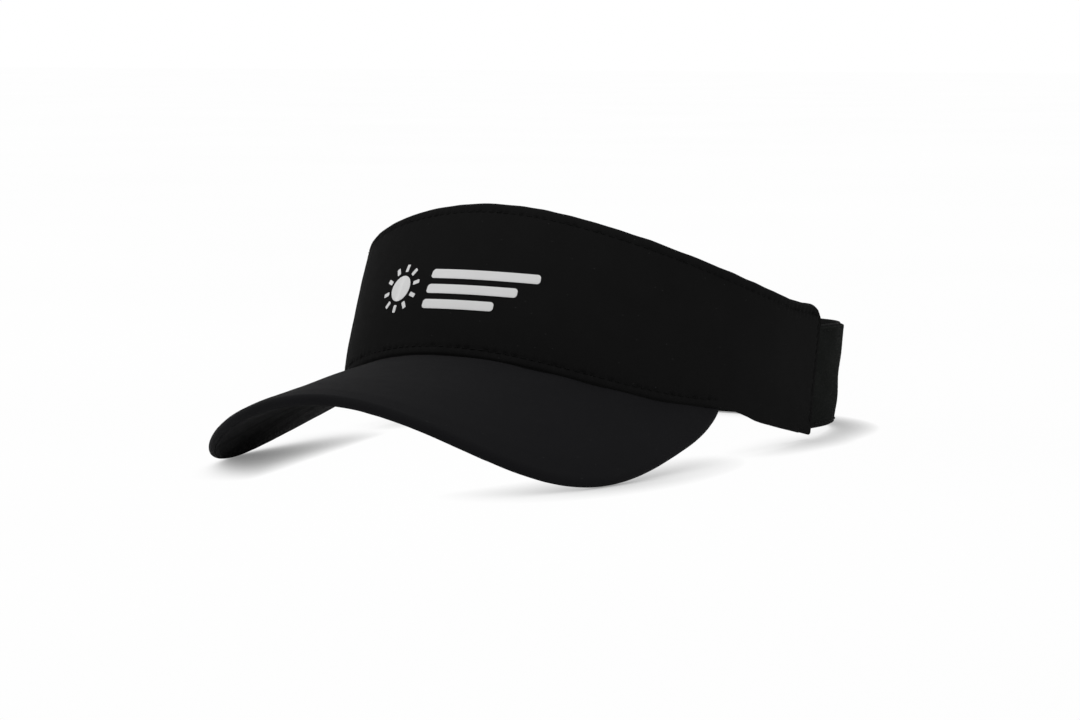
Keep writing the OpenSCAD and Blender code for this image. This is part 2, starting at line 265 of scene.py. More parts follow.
def tape_depth(a):
    return lining_depth(a) + LINING_THICKNESS + PLY_GAP


def sweatband_depth(a):
    foam = (FOAM_THICKNESS - TAPE_THICKNESS) * (1 - smooth(*FOAM_SPAN, np.abs(a)))
    return tape_depth(a) + TAPE_THICKNESS + PLY_GAP + foam


def sweatband_top(a):
    return np.minimum(lower_edge(a) + SWEATBAND_HEIGHT, upper_edge(a) - HEM_HEIGHT - 2)


def strap_low(b):
    return STRAP_START + (wall(b, 0, 0)[..., 1] - CROWN_END) * math.tan(STRAP_RUN)


def lap(b):
    """0 where a strap lies on the wall by itself and 1 where the two lie over each other."""
    return smooth(LAP_START, 180 - STRAP_LAP - 1, b)


# ---------------------------------------------------------------- worn pose to resting pose
MOUNT_AXIS = next(m["axis"] for m in frame["record"]["mounts"] if m["name"] == "head_opening")
REST_TILT = math.atan2(MOUNT_AXIS[1], MOUNT_AXIS[2])


def tilted(p):
    c, s = math.cos(REST_TILT), math.sin(REST_TILT)
    x, y, z = p[..., 0], p[..., 1], p[..., 2]
    return stack(x, y * c + z * s, -y * s + z * c)


def find_lift():
    """Height of the worn pose's base plane over the ground, from the near strap's pivot."""
    pivot = next(j["pos_m"] for j in frame["joints"] if j["name"] == "loop_strap_swing")
    middle = strap_low(STRAP_ROOT) + STRAP_HEIGHT / 2
    worn = wall(STRAP_ROOT - 0.3, middle, WEBBING_DEPTH + STRAP_THICKNESS / 2)
    return pivot[2] / MM - tilted(worn)[2]


LIFT = find_lift()


def place(p):
    """Worn pose in millimetres to the frame in metres."""
    return (tilted(np.asarray(p, float)) + [0, LIFT * math.tan(REST_TILT), LIFT]) * MM


# ---------------------------------------------------------------- lengths along curves
def length_table(points):
    steps = np.linalg.norm(np.diff(points, axis=0), axis=1)
    return np.concatenate([[0.0], np.cumsum(steps)])


# Lengths round the wall, at half the crown's height, and along the bill's rim.
ARC_ANGLES = np.linspace(-225.0, 225.0, 3601)
ARC_LENGTHS = length_table(wall(ARC_ANGLES, 30.0, 0.0))
ARC_LENGTHS -= np.interp(0.0, ARC_ANGLES, ARC_LENGTHS)
RIM_ANGLES = np.linspace(-BILL_END, BILL_END, 2401)
RIM_LENGTHS = length_table(rim(RIM_ANGLES))
RIM_LENGTHS -= RIM_LENGTHS[-1] / 2


def arc(a):
    """Length round the wall from the front to the direction a."""
    return np.interp(a, ARC_ANGLES, ARC_LENGTHS)


def angle_at(u):
    return np.interp(u, ARC_LENGTHS, ARC_ANGLES)


def ruler(start, end, step, *radii):
    """Positions from start to end, drawn together at both ends to follow roundings there."""
    turn = np.linspace(0, math.pi / 2, 7)
    near = np.unique(np.concatenate([r * (1 - np.cos(turn)) for r in radii]))
    near = near[np.concatenate([[True], np.diff(near) > 0.004])]
    count = max(1, round((end - start - 2 * near[-1]) / step))
    middle = np.linspace(start + near[-1], end - near[-1], count + 1)[1:-1]
    return np.concatenate([start + near, middle, (end - near)[::-1]])


def rounding(distance, radius):
    """Half-round edge profile: 0 on the edge and 1 from one radius inward."""
    x = np.clip(distance / radius, 0, 1)
    return np.sqrt(1 - (1 - x) ** 2)


# ---------------------------------------------------------------- closed meshes
def grid_quads(ids):
    a, b, c, d = ids[:-1, :-1], ids[1:, :-1], ids[1:, 1:], ids[:-1, 1:]
    return np.stack([a, b, c, d], axis=-1).reshape(-1, 4)


def outward(points, faces):
    """The quads, turned over if they enclose a negative volume."""
    p = points[faces]
    volume = np.einsum("ij,ij->", p[:, 0], np.cross(p[:, 1], p[:, 2]))
    volume += np.einsum("ij,ij->", p[:, 0], np.cross(p[:, 2], p[:, 3]))
    return faces if volume > 0 else faces[:, ::-1]


def skin(front, back, u, v):
    """Closed sheet of two grids that share their border, with its map in millimetres."""
    rows, cols = front.shape[:2]
    ids = np.arange(rows * cols).reshape(rows, cols)
    back_ids = ids.copy()
    inner = (rows - 2) * (cols - 2)
    back_ids[1:-1, 1:-1] = rows * cols + np.arange(inner).reshape(rows - 2, cols - 2)
    points = np.concatenate([front.reshape(-1, 3), back[1:-1, 1:-1].reshape(-1, 3)])
    faces = np.concatenate([grid_quads(ids), grid_quads(back_ids)[:, ::-1]])
    uv = np.stack(np.broadcast_arrays(u, v), axis=-1).astype(float)
    uvs = np.concatenate([uv.reshape(-1, 2), uv[1:-1, 1:-1].reshape(-1, 2)])
    return points, outward(points, faces), uvs


def joined(parts):
    """Several meshes as one."""
    points, faces, uvs, count = [], [], [], 0
    for p, f, t in parts:
        points.append(p)
        faces.append(f + count)
        uvs.append(t)
        count += len(p)
    return np.concatenate(points), np.concatenate(faces), np.concatenate(uvs)


def slab(point, u, v, thickness, relief=None):
    """Closed sheet with round edges. point(u, v, lift) is its middle, moved outward by lift."""
    radius = thickness / 2
    shape = rounding(np.minimum(u - u[0], u[-1] - u), radius)[:, None]
    shape = shape * rounding(np.minimum(v - v[0], v[-1] - v), radius)[None]
    uu, vv = np.meshgrid(u, v, indexing="ij")
    proud = shape * relief(uu, vv) if relief else 0.0
    return skin(point(uu, vv, radius * shape + proud), point(uu, vv, -radius * shape), uu, vv)


def band(a0, a1, low, high, depth, thickness, step, relief=None, facing=1, corner_radius=0.0):
    """Ply of the wall between two directions. low, high and depth are functions of direction."""
    radii = [thickness / 2] + ([corner_radius] if corner_radius else [])
    u = ruler(arc(a0), arc(a1), step, *radii)
    height = float(np.max(high(angle_at(u)) - low(angle_at(u))))
    v = ruler(0.0, height, step, thickness / 2)

    def point(uu, vv, lift):
        a = angle_at(uu)
        z = mix(low(a), high(a), vv / height)
        return wall(a, z, depth(a) + thickness / 2 - facing * lift)

    return slab(point, u, v, thickness, relief)


# Stitches: one every STITCH_PITCH mm, of which STITCH_LENGTH shows.
STITCH_PITCH = 3.3
STITCH_LENGTH = 2.65
THREAD_RADIUS = 0.2
THREAD_SIDES = 8


def stitch_row(path, start, end, pitch=STITCH_PITCH, radius=THREAD_RADIUS):
    """One row of stitches on the surface path(t, lift), for t from start to end."""
    t = np.linspace(start, end, 2400)
    run = length_table(path(t, 0.0))
    count = max(1, round(run[-1] / pitch))
    centre = (np.arange(count) + 0.5) * run[-1] / count
    q = np.sin(np.linspace(-math.pi / 2, math.pi / 2, 11))
    at = np.interp(centre[:, None] + q * STITCH_LENGTH / STITCH_PITCH * pitch / 2, run, t)
    sink = radius * (0.4 - 1.3 * q**4)
    middle = path(at, sink)
    up = path(at, sink + 0.1) - middle
    up /= np.linalg.norm(up, axis=-1, keepdims=True)
    ahead = np.gradient(middle, axis=1)
    ahead /= np.linalg.norm(ahead, axis=-1, keepdims=True)
    side = np.cross(ahead, up)
    turn = np.arange(THREAD_SIDES) * 2 * math.pi / THREAD_SIDES
    r = (radius * np.sqrt(np.maximum(0.01, 1 - q**6)))[None, :, None, None]
    ring = side[:, :, None] * np.cos(turn)[:, None] + up[:, :, None] * np.sin(turn)[:, None]
    points = middle[:, :, None] + r * ring
    ids = np.arange(count * len(q) * THREAD_SIDES).reshape(count, len(q), THREAD_SIDES)
    a, b = ids[:, :-1], ids[:, 1:]
    tube = np.stack([a, b, np.roll(b, -1, axis=2), np.roll(a, -1, axis=2)], axis=-1)
    caps = []
    for end_ring, flip in ((ids[:, 0], 1), (ids[:, -1], -1)):
        for k in range(1, THREAD_SIDES - 2, 2):
            caps.append(end_ring[:, [0, k, k + 1, k + 2]][:, ::flip])
    faces = np.concatenate([tube.reshape(-1, 4)] + caps)
    along = np.broadcast_to(at[:, :, None], points.shape[:3])
    around = np.broadcast_to(turn * radius, points.shape[:3])
    uvs = np.stack([along, around], axis=-1).reshape(-1, 2)
    points = points.reshape(-1, 3)
    return points, outward(points, faces), uvs


def add_piece(name, mesh_data, material, nodes=(), body=BODY, bend=None):
    """A smooth mesh, placed in the frame and hung on its body. When bend (body, start, end) is given, the mesh is
    only baked in place and hung on no body; bend's body, start and end are not used.
    """
    points, faces, uvs = mesh_data
    mesh = bpy.data.meshes.new(name)
    mesh.from_pydata(place(points), [], faces)
    layer = mesh.uv_layers.new(name="mm")
    corners = np.zeros(len(mesh.loops), np.int32)
    mesh.loops.foreach_get("vertex_index", corners)
    layer.data.foreach_set("uv", uvs[corners].astype(np.float32).ravel())
    mesh.polygons.foreach_set("use_smooth", np.ones(len(mesh.polygons), bool))
    mesh.materials.append(material)
    mesh.validate()
    obj = bpy.data.objects.new(name, mesh)
    bpy.context.scene.collection.objects.link(obj)
    if nodes:
        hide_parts(*nodes)
    if bend:
        place(bend[1])
        place(bend[2])
        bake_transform(obj)
    else:
        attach(obj, body)
    return obj


# ---------------------------------------------------------------- materials
class Cloth:
    """Builds a node material on the mesh's map, which is in millimetres."""

    def __init__(self, name):
        self.material = bpy.data.materials.new(name)
        self.material.use_nodes = True
        self.tree = self.material.node_tree
        self.tree.nodes.clear()
        self.place = self.node("ShaderNodeUVMap", uv_map="mm").outputs[0]
        self.space = self.node("ShaderNodeTexCoord").outputs["Object"]

    def node(self, kind, inputs=(), **settings):
        n = self.tree.nodes.new(kind)
        for key, value in settings.items():
            setattr(n, key, value)
        for key, value in dict(inputs).items():
            if isinstance(value, bpy.types.NodeSocket):
                self.tree.links.new(value, n.inputs[key])
            else:
                n.inputs[key].default_value = value
        return n

    def calc(self, operation, *values):
        return self.node("ShaderNodeMath", dict(enumerate(values)), operation=operation).outputs[0]

    def noise(self, size, detail=3.0, in_metres=None):
        """Noise of about 0 to 1, with patches `size` mm across, on the map or on in_metres."""
        scale = 1 / size if in_metres is None else 1 / (size * MM)
        scaled = self.node(
            "ShaderNodeVectorMath",
            {0: in_metres or self.place, 1: (scale, scale, scale)},
            operation="MULTIPLY",
        )
        return self.node(
            "ShaderNodeTexNoise",
            {"Vector": scaled.outputs[0], "Scale": 1.0, "Detail": detail, "Roughness": 0.55},
        ).outputs["Fac"]

    def wave(self, axis, pitch):
        """Sine along one axis of the map, repeated every `pitch` mm."""
        split = self.node("ShaderNodeSeparateXYZ", {0: self.place}).outputs[axis]
        return self.calc("SINE", self.calc("MULTIPLY", split, 2 * math.pi / pitch))

    def specks(self, size, share):
        """1 on rare specks a little under `size` mm wide, each in its own cell."""
        cells = self.node(
            "ShaderNodeTexVoronoi",
            {"Vector": self.place, "Scale": 1 / (size * 12)},
            voronoi_dimensions="2D",
        )
        near = self.calc("LESS_THAN", cells.outputs["Distance"], 0.035)
        pick = self.node("ShaderNodeSeparateColor", {0: cells.outputs["Color"]}).outputs[0]
        return self.calc("MULTIPLY", near, self.calc("LESS_THAN", pick, share))

    def tint(self, factor, low, high):
        """Colour from low to high by factor."""
        ramp = self.node("ShaderNodeMix", {"Factor": factor}, data_type="RGBA")
        ramp.inputs[6].default_value = (*low, 1)
        ramp.inputs[7].default_value = (*high, 1)
        return ramp.outputs[2]

    def over(self, factor, under, colour):
        """colour laid over the socket `under` by factor."""
        mixed = self.node("ShaderNodeMix", {"Factor": factor}, data_type="RGBA")
        self.tree.links.new(under, mixed.inputs[6])
        mixed.inputs[7].default_value = (*colour, 1)
        return mixed.outputs[2]

    def finish(self, colour, height, depth, roughness, sheen, specular=0.08):
        """Principled surface; height is a 0 to 1 relief `depth` mm deep."""
        bump = self.node(
            "ShaderNodeBump", {"Height": height, "Strength": 1.0, "Distance": depth * MM}
        )
        surface = self.node(
            "ShaderNodeBsdfPrincipled",
            {
                "Base Color": colour,
                "Roughness": roughness,
                "Specular IOR Level": specular,
                "Sheen Weight": sheen,
                "Sheen Roughness": 0.35,
                "Normal": bump.outputs[0],
            },
        )
        output = self.node("ShaderNodeOutputMaterial")
        self.tree.links.new(surface.outputs[0], output.inputs[0])
        return self.material


def grey(value):
    return (value, value, value)


def woven(name, dark, light, pitch, depth, sheen, roughness=0.85, lint=0.0, specular=0.08):
    """Plain weave with soft mottling, fibre noise and a few light lint specks."""
    c = Cloth(name)
    over_under = c.calc("MULTIPLY", c.wave(0, pitch), c.wave(1, pitch))
    weave = c.calc("MULTIPLY_ADD", over_under, 0.5, 0.5)
    fibre = c.noise(0.16, detail=2.0)
    patches = c.noise(14.0, detail=4.0)
    height = c.calc("ADD", c.calc("MULTIPLY", weave, 0.7), c.calc("MULTIPLY", fibre, 0.5))
    shade = c.calc("ADD", c.calc("MULTIPLY", patches, 0.6), c.calc("MULTIPLY", weave, 0.4))
    colour = c.tint(shade, dark, light)
    if lint:
        colour = c.over(c.specks(0.24, lint), colour, grey(0.035))
    rough = c.calc("MULTIPLY_ADD", patches, 0.12, roughness - 0.06)
    return c.finish(colour, height, depth, rough, sheen, specular)


def pile(name, dark, light, size, depth, sheen):
    """Small random loops or hooks."""
    c = Cloth(name)
    cells = c.node(
        "ShaderNodeTexVoronoi",
        {"Vector": c.place, "Scale": 1 / size},
        voronoi_dimensions="2D",
        feature="SMOOTH_F1",
    )
    curl = c.noise(size * 0.6, detail=3.0)
    height = c.calc("SUBTRACT", c.calc("MULTIPLY_ADD", curl, 0.6, 0.6), cells.outputs["Distance"])
    patches = c.noise(9.0, detail=4.0)
    shade = c.calc("ADD", c.calc("MULTIPLY", height, 0.55), c.calc("MULTIPLY", patches, 0.4))
    colour = c.tint(shade, dark, light)
    colour = c.over(c.specks(0.22, 0.1), colour, grey(0.03))
    return c.finish(colour, height, depth, 0.9, sheen, 0.015)


def thread_material(name, value):
    """Twisted sewing thread: fine slanted turns and a soft gloss."""
    c = Cloth(name)
    parts = c.node("ShaderNodeSeparateXYZ", {0: c.place})
    along = c.calc("MULTIPLY", parts.outputs[0], 9.0)
    around = c.calc("MULTIPLY", parts.outputs[1], 7.0)
    turns = c.calc("MULTIPLY_ADD", c.calc("SINE", c.calc("ADD", along, around)), 0.5, 0.5)
    shade = c.calc("ADD", c.calc("MULTIPLY", turns, 0.5), c.calc("MULTIPLY", c.noise(6.0), 0.5))
    colour = c.tint(shade, grey(value * 0.7), grey(value * 1.3))
    return c.finish(colour, turns, depth=0.06, roughness=0.7, sheen=0.004, specular=0.02)


def board(name, dark, light, grain, depth, roughness, specular):
    """Moulded or pressed sheet seen only inside the part: plastic, buckram or foam."""
    c = Cloth(name)
    fine = c.noise(grain, detail=4.0)
    broad = c.noise(22.0, detail=3.0)
    shade = c.calc("ADD", c.calc("MULTIPLY", fine, 0.5), c.calc("MULTIPLY", broad, 0.5))
    return c.finish(c.tint(shade, dark, light), fine, depth, roughness, 0.0, specular)


# Cloths: darkest and lightest tone, thread or loop size and relief in mm, then the sheen.
FABRIC_WEAVE = 0.42
SHELL_CLOTH = woven(
    "shell_fabric", grey(0.0033), grey(0.0053), FABRIC_WEAVE, 0.04, 0.001, lint=0.05,
    specular=0.008,
)
BILL_CLOTH = woven(
    "bill_fabric", (0.0034, 0.0034, 0.0038), (0.0054, 0.0054, 0.0059), FABRIC_WEAVE, 0.04, 0.012,
    lint=0.05, specular=0.02,
)
LINING_CLOTH = woven("lining_fabric", grey(0.004), grey(0.007), 0.6, 0.07, 0.02)
SWEAT_CLOTH = pile("sweatband_fabric", grey(0.005), grey(0.010), 0.9, 0.25, 0.04)
WEBBING_CLOTH = woven("webbing", grey(0.004), grey(0.007), 1.3, 0.16, 0.004, specular=0.015)
LOOP_PILE = pile(
    "loop_pile", (0.0026, 0.0030, 0.0027), (0.0046, 0.0052, 0.0047), 0.55, 0.14, 0.004
)
HOOK_PILE = pile("hook_pile", grey(0.005), grey(0.010), 1.1, 0.4, 0.01)
THREAD = thread_material("thread", 0.003)
PRINT = woven(
    "print", grey(0.36), grey(0.41), FABRIC_WEAVE, 0.03, 0.0, roughness=0.65, specular=0.2
)
LABEL_GREY = woven("label_grey", grey(0.5), grey(0.6), 0.3, 0.04, 0.05)
LABEL_BEIGE = woven("label_beige", (0.62, 0.54, 0.4), (0.72, 0.64, 0.5), 0.3, 0.04, 0.05)
BILL_BOARD = board("bill_board", grey(0.03), grey(0.05), 0.8, 0.03, 0.45, 0.4)
BUCKRAM = woven("buckram", grey(0.6), grey(0.75), 1.0, 0.2, 0.0, roughness=0.8)
FOAM = board("foam", grey(0.3), grey(0.42), 0.5, 0.15, 0.9, 0.1)


# ---------------------------------------------------------------- crown
FABRIC = 0.6
# Length of the finely divided zone at each end of the crown.
END_ZONE = 8.0
# Height of the finely divided zone above the bill seam and below the top edge.
SEAM_ZONE = 8.0
# Distance of the stitch row on each end of the crown from that end.
END_ROW_INSET = 1.8


def row_pull(distance, u, offset=0.0):
    """Relief of cloth along a stitch row: a groove dented at each stitch, and puckers off it."""
    dent = 0.7 + 0.3 * np.cos(2 * math.pi * (u + offset) / STITCH_PITCH)
    groove = -0.4 * dent * np.exp(-((distance / 0.75) ** 2))
    uneven = 0.8 + 0.45 * ripple(u, 0 * u, 7.0, 6)
    gather = np.cos(2 * math.pi * (u + offset) / STITCH_PITCH) * np.exp(-np.abs(distance) / 1.5)
    slack = ripple(u, 0 * u, 9.0, 5) * np.exp(-np.abs(distance) / 4.0)
    return groove * np.clip(uneven, 0.4, 1.2) - 0.16 * uneven * gather + 0.07 * slack


def crown_relief(a, z):
    """How far the crown's outer face stands proud of its ply, in mm."""
    u = arc(a)
    top = upper_edge(a) - z
    low = z - lower_edge(a)
    end = from_end(a)
    by_bill = smooth(TEMPLE + 2, TEMPLE - 4, np.abs(a))
    calm = smooth(1, 10, top) * smooth(0, 8, low) * smooth(2, 12, end)
    broad = 0.12 * ripple(u, z, 34.0, 11, stretch=1.6) + 0.02 * ripple(u, z, 9.0, 12)
    hem = 0.2 * np.sin(math.pi * np.clip(top / STITCH_INSET, 0, 1)) ** 2
    total = broad * calm + hem + row_pull(top - STITCH_INSET, u)
    total = total + by_bill * row_pull(low - STITCH_INSET, u, 1.1)
    total = total - 0.7 * by_bill * (1 - np.clip(low / 1.4, 0, 1)) ** 2
    return total + row_pull(end - END_ROW_INSET, z) * smooth(3, 6, top) * smooth(3, 6, low)


# Distances of grid lines from an edge with a stitch row, and turns of the rolled top edge.
ROW_LINES = np.concatenate(
    [np.linspace(0.5, 2.4, 7), np.linspace(2.65, 3.75, 6), np.linspace(4.1, 7.5, 8)]
)
ROLL_LINES = np.linspace(0, math.pi, 15)[1:-1]


def crown_fabric():
    """Outer cloth: up the outer face, over the top edge and down into a hem inside."""
    radius = FABRIC / 2
    u = ruler(arc(-CROWN_END_ANGLE), arc(CROWN_END_ANGLE), 0.62, radius, END_CORNER, END_ZONE)
    a = angle_at(u)[:, None]
    low, high = lower_edge(a, radius) - PLY_GAP, upper_edge(a)
    inner = tape_depth(a) + TAPE_THICKNESS - radius
    roll = (inner - radius) / 2
    edge = radius * (1 - np.cos(np.linspace(0, math.pi / 2, 6)))[None]
    rows_above_roll = ROW_LINES[ROW_LINES > float(np.max(roll)) + 0.2]
    middle = np.linspace(0, 1, 74)[None]
    hem = np.linspace(0, 1, 16)[None]
    z = [
        low + edge,
        low + ROW_LINES[None],
        mix(low + SEAM_ZONE, high - SEAM_ZONE, middle),
        (high - rows_above_roll[None])[:, ::-1],
        high - roll + roll * np.sin(ROLL_LINES[None]),
        mix(high - roll, high - HEM_HEIGHT + radius, hem),
        high - HEM_HEIGHT + edge[:, ::-1],
    ]
    turn = np.concatenate(
        [np.zeros(part.shape[1]) for part in z[:4]]
        + [ROLL_LINES, np.full(z[5].shape[1] + z[6].shape[1], math.pi)]
    )[None]
    z = np.concatenate(z, axis=1)
    d = radius + roll * (1 - np.cos(turn))
    steps = np.hypot(np.diff(z, axis=1), np.diff(d, axis=1))
    run = np.concatenate([np.zeros_like(a), np.cumsum(steps, axis=1)], axis=1)
    across = np.minimum(run, run[:, -1:] - run)
    along = np.minimum(u - u[0], u[-1] - u)[:, None]
    shape = rounding(across, radius) * rounding(along, radius)
    outer = np.clip(np.cos(turn), 0, 1)
    proud = shape * outer * crown_relief(np.broadcast_to(a, z.shape), z)
    proud = proud + shape * (1 - outer) * 0.08 * ripple(u[:, None], run, 12.0, 31)

    def moved(lift):
        return wall(a, z + np.sin(turn) * lift, d - np.cos(turn) * lift)

    return skin(moved(radius * shape + proud), moved(-radius * shape), u[:, None], run)


def crown_surface(a, z, lift):
    """Point on the crown's cloth, `lift` mm proud of its relief."""
    return wall(a, z, -(crown_relief(a, z) + lift))


def inner_edge(a):
    """Lower edge of the plies inside the crown, which start above the bill's root."""
    return lower_edge(a, SEAM_ALLOWANCE) + PLY_GAP


def faint(size, height, seed):
    """Slight unevenness of a ply that is hardly seen."""
    return lambda u, v: height * ripple(u, v, size, seed)


TEMPLE_TAPE = TEMPLE + 3
INNER_END = CROWN_END_ANGLE - 5
# Directions over which the buckram and the foam pad narrow towards their ends.
STIFF_TAPER = (40.0, 62.0)
FOAM_TAPER = (42.0, 50.0)
SEAM_TAPE_HEIGHT = 7.0
LINING_STEP_DOWN = 1.6
# End facings: distance of their middle from the crown's end and half their width, in degrees.
FACING_INSET = 2.4
FACING_HALF_WIDTH = 1.7


def taper(a, limits, height):
    """How far an edge has drawn in at the direction a."""
    return height * smooth(limits[0], limits[1], np.abs(a))


add_piece(
    "crown_fabric", crown_fabric(), SHELL_CLOTH, ["crown_shell", "top_edge_tape"]
)
add_piece(
    "crown_lining_fabric",
    band(
        -CROWN_END_ANGLE, CROWN_END_ANGLE, inner_edge, lambda a: upper_edge(a) - LINING_STEP_DOWN,
        lining_depth, LINING_THICKNESS, 1.6, faint(16.0, 0.12, 21), facing=-1,
        corner_radius=END_CORNER,
    ),
    LINING_CLOTH, ["crown_lining"],
)
add_piece(
    "seam_binding",
    band(
        -TEMPLE_TAPE, TEMPLE_TAPE, inner_edge, lambda a: inner_edge(a) + SEAM_TAPE_HEIGHT,
        tape_depth, TAPE_THICKNESS, 1.5, faint(7.0, 0.05, 22), facing=-1,
    ),
    LINING_CLOTH, ["seam_tape"],
)
add_piece(
    "front_buckram",
    band(
        -STIFF_TAPER[1], STIFF_TAPER[1], lambda a: lower_edge(a) + 4 + taper(a, STIFF_TAPER, 14),
        lambda a: upper_edge(a) - 6 - taper(a, STIFF_TAPER, 14), lambda a: STIFFENER_DEPTH + 0 * a,
        STIFFENER_THICKNESS, 2.0,
    ),
    BUCKRAM, ["crown_stiffener"],
)
add_piece(
    "forehead_pad",
    band(
        -FOAM_TAPER[1], FOAM_TAPER[1],
        lambda a: inner_edge(a) + SEAM_TAPE_HEIGHT + 1 + taper(a, FOAM_TAPER, 5),
        lambda a: sweatband_top(a) - 4 - taper(a, FOAM_TAPER, 5), tape_depth,
        FOAM_THICKNESS - PLY_GAP, 2.0, facing=-1,
    ),
    FOAM, ["forehead_foam"],
)
for side, label in ((1, "near"), (-1, "far")):
    middle = side * (CROWN_END_ANGLE - FACING_INSET)
    add_piece(
        f"{label}_end_hem",
        band(
            middle - FACING_HALF_WIDTH, middle + FACING_HALF_WIDTH,
            lambda a: lower_edge(a) + 3, lambda a: upper_edge(a) - 3,
            tape_depth, TAPE_THICKNESS, 0.8, faint(6.0, 0.06, 23), facing=-1,
        ),
        LINING_CLOTH, [f"{label}_end_facing"],
    )


# ---------------------------------------------------------------- bill
def bill_columns(step):
    """Directions spaced evenly along the rim."""
    s = ruler(RIM_LENGTHS[0], RIM_LENGTHS[-1], step, 0.3, 6.0)
    return s, np.interp(s, RIM_LENGTHS, RIM_ANGLES)


def bill_line(b):
    """Line from the rim to the crown, seen from above: its two ends and its length."""
    edge = rim(b)
    inward = wall(np.degrees(np.arctan2(edge[..., 0], -edge[..., 1])), 0.0, SEAM_ALLOWANCE)
    root = inward[..., :2]
    return edge, root, np.linalg.norm(edge - root, axis=-1)


def bill_point(b, inset, low):
    """Point on that line, `inset` mm from the rim and `low` mm under the upper face."""
    edge, root, length = bill_line(b)
    p = edge + (root - edge) * (inset / length)[..., None]
    top = stack(p[..., 0], p[..., 1], bill_height(p[..., 0], p[..., 1]))
    return top - np.asarray(low)[..., None] * bill_normal(p[..., 0], p[..., 1])


# Turn, past the bill's side, at which its covers meet, and the small gap between them there.
COVER_WRAP = math.radians(55)
COVER_SPLIT = math.radians(1)
# Rounding of a cover where it meets the other one on the bill's edge, and its last turns.
SEAM_ROUNDING = 0.1
SEAM_TURNS = np.array([0.05, 0.03, 0.01, 0.0])
# Share of its thickness the bill loses towards its edge, and how far in that begins.
EDGE_TAPER = 0.2
EDGE_TAPER_WIDTH = 9.0


def bill_sheet(wrap, under, step, relief):
    """Cover of one face of the bill, wrapped round the edge by the angle wrap."""
    half = BILL_THICKNESS / 2
    s, b = bill_columns(step)
    length = bill_line(b)[2][:, None]
    radius = COVER_THICKNESS / 2
    near = radius * (1 - np.cos(np.linspace(0, math.pi / 2, 5)))[None]
    flat = spread(1.0, 0.0, int(82 / step), ease=0.5)[1:][None]
    reach = np.maximum(length - near[:, -1:], half)
    flat_inset = np.concatenate(
        [np.maximum(length - near, half), half + (reach - half) * flat], axis=1
    )
    q = np.concatenate([np.linspace(math.pi / 2, -wrap, 18)[1:-1], -wrap + SEAM_TURNS])
    q = q[None] + 0 * length
    size = half - radius
    inset = np.concatenate([flat_inset, half - size * np.cos(q)], axis=1)
    low = np.concatenate([np.full_like(flat_inset, radius), half - size * np.sin(q)], axis=1)
    turn = np.concatenate([np.full_like(flat_inset, math.pi / 2), q], axis=1)
    taper_off = EDGE_TAPER * (1 - smooth(0, EDGE_TAPER_WIDTH, inset))
    low = half + (low - half) * (1 - taper_off)
    run = np.cumsum(np.hypot(np.diff(inset, axis=1), np.diff(low, axis=1)), axis=1)
    run = np.concatenate([0 * length, run], axis=1)
    along = np.minimum(s - s[0], s[-1] - s)[:, None]
    root_side = rounding(run, radius) * rounding(run[:, -1:] - run, SEAM_ROUNDING)
    shape = root_side * rounding(along, radius)
    uu = np.broadcast_to(s[:, None], shape.shape)
    proud = shape * relief(uu, inset, turn)
    bb = np.broadcast_to(b[:, None], shape.shape)

    def moved(lift):
        depth = low - lift * np.sin(turn)
        depth = BILL_THICKNESS - depth if under else depth
        return bill_point(bb, inset - lift * np.cos(turn), depth)

    return skin(moved(radius * shape + proud), moved(-radius * shape), uu, run)


def top_relief(u, inset, turn):
    """Faint slackness of the upper cover, and the line of the board's edge under it."""
    calm = smooth(2, 14, inset)
    board_edge = -0.04 * np.exp(-(((inset - 6.5) / 1.6) ** 2))
    slack = 0.07 * calm * ripple(u, inset, 30.0, 41, stretch=1.8)
    return slack + 0.012 * ripple(u, inset, 7.0, 42) + board_edge


def under_relief(u, inset, turn):
    """Streaky drag lines that run in from the edge of the lower cover."""
    streaks = ripple(u, inset / 7.0, 8.0, 43) * (0.35 + 0.65 * np.exp(-inset / 18.0))
    return (0.05 * streaks + 0.08 * ripple(u, inset, 26.0, 44)) * smooth(-1, 5, inset)


add_piece(
    "bill_upper_fabric",
    bill_sheet(COVER_WRAP, False, 1.0, top_relief),
    BILL_CLOTH, ["bill_top_cover"],
)
add_piece(
    "bill_under_fabric",
    bill_sheet(-COVER_WRAP - COVER_SPLIT, True, 1.1, under_relief),
    BILL_CLOTH, ["bill_under_cover"],
)
frame["nodes"]["bill_core"].data.materials.clear()
frame["nodes"]["bill_core"].data.materials.append(BILL_BOARD)


# ---------------------------------------------------------------- straps
STRAP_CORNER = 6.0
POCKET_ROOT = CROWN_END_ANGLE - 5.0
# Directions between which a strap half bends when it turns.
BEND_START = CROWN_END_ANGLE - 0.2
BEND_END = STRAP_ROOT + 1.6


def strap_inset(b):
    """How far a strap's edges draw in at the round corners of its tip."""
    s = np.clip((STRAP_TIP - b) * math.pi / 180 * OVAL_REAR, 0, STRAP_CORNER)
    return STRAP_CORNER - np.sqrt(STRAP_CORNER**2 - (STRAP_CORNER - s) ** 2)


def strap_point(side, b, z, depths, lift, facing=1):
    """Point of a ply whose depth goes from depths[0] to depths[1] where the straps overlap."""
    return wall(side * b, z, mix(depths[0], depths[1], lap(b)) - facing * lift)


def strap_ply(side, b0, b1, inset, depths, thickness, step, relief=None, facing=1):
    """One ply of a strap: side is 1 for the near strap and -1 for the far one."""
    u = ruler(arc(b0), arc(b1), step, thickness / 2, STRAP_CORNER)
    height = STRAP_HEIGHT - 2 * inset
    v = ruler(0.0, height, step, thickness / 2)
    middle = [d + thickness / 2 for d in depths]

    def point(uu, vv, lift):
        b = angle_at(uu)
        e = inset + strap_inset(b)
        z = strap_low(b) + mix(e, STRAP_HEIGHT - e, vv / height)
        return strap_point(side, b, z, middle, lift, facing)

    return slab(point, u, v, thickness, relief)


